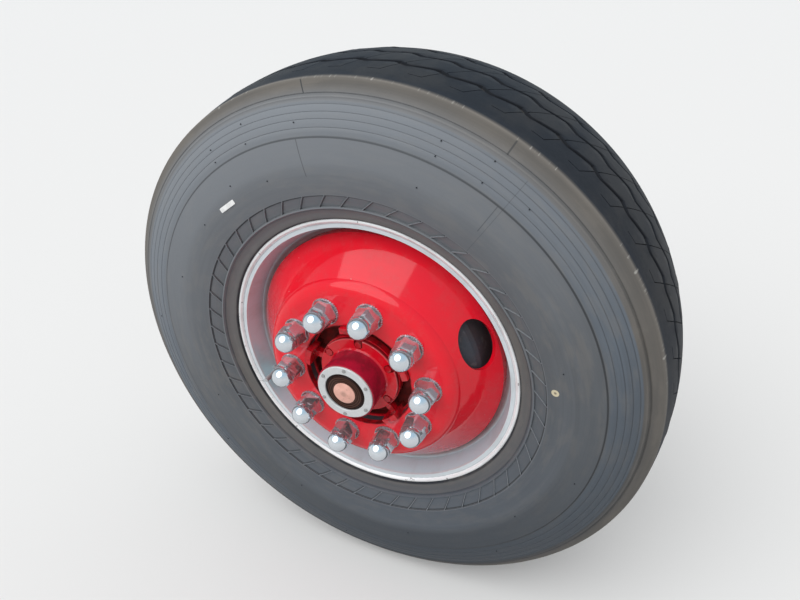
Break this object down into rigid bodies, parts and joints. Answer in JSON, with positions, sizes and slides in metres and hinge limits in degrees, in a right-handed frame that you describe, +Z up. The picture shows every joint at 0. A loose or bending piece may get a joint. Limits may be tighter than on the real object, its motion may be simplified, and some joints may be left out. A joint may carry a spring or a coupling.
{
  "type": "front wheel end of a fire truck, with its steering knuckle",
  "caption": "Heavy truck front wheel with red disc, tyre, hub and oil cap, turning on a steering knuckle with an air drum brake.",
  "frame": {"origin": "where the kingpin bore's axis crosses the axle's axis, midway between the knuckle's two ears", "axes": "+Y along the axle pointing inboard, +X towards the front of the vehicle, +Z up; the kingpin leans inboard at its top"},
  "size_m": [1.0959, 0.553, 1.0958],
  "materials": {
    "red_paint": "gloss red enamel",
    "silver_paint": "silver wheel paint, worn bright on the lip",
    "tyre": "worn rubber, dusty on the sidewall",
    "chrome": "polished, slightly pitted",
    "aluminium": "satin, oxidised",
    "bolt_steel": "dull plated steel",
    "window": "oil-stained clear plastic",
    "plug": "faded soft rubber",
    "cast_iron": "bare casting with surface rust",
    "black_paint": "satin black chassis paint, dusty",
    "bright_steel": "machined steel",
    "bronze": "bearing bronze",
    "zinc_sheet": "zinc-plated pressed steel",
    "valve_metal": "tarnished brass"
  },
  "bodies": {
    "knuckle": {"outer_bearing": "bright_steel", "inner_bearing": "bright_steel", "steering_knuckle": "black_paint", "kingpin_bushings": "bronze", "spindle_washer": "bright_steel", "spindle_nut": "bolt_steel", "brake_spider": "cast_iron", "anchor_pins": "bright_steel", "spider_bolts": "bolt_steel", "dust_shield": "zinc_sheet", "cam_tube": "black_paint", "cam_shaft": "bright_steel", "slack_adjuster": "cast_iron", "push_rod": "zinc_sheet", "brake_chamber": "black_paint", "chamber_clamp": "zinc_sheet", "chamber_bracket": "black_paint", "chamber_bolts": "bolt_steel", "tie_rod_arm": "black_paint"},
    "wheel": {"wheel_disc": "red_paint", "wheel_rim": "silver_paint", "tyre": "tyre", "hub": "red_paint", "wheel_studs": "bolt_steel", "wheel_nuts": "bolt_steel", "nut_covers": "chrome", "hub_cap": "red_paint", "hub_cap_bolts": "bolt_steel", "window_ring": "aluminium", "ring_screws": "bolt_steel", "sight_window": "window", "vent_plug": "plug", "brake_drum": "cast_iron", "valve_stem": "valve_metal", "valve_cap": "valve_metal"}
  },
  "joints": [
    {"name": "wheel_spin", "type": "hinge", "parent": "knuckle", "child": "wheel", "pos_m": [0, 0, 0], "axis": [0, 1, 0], "continuous": true}
  ]
}
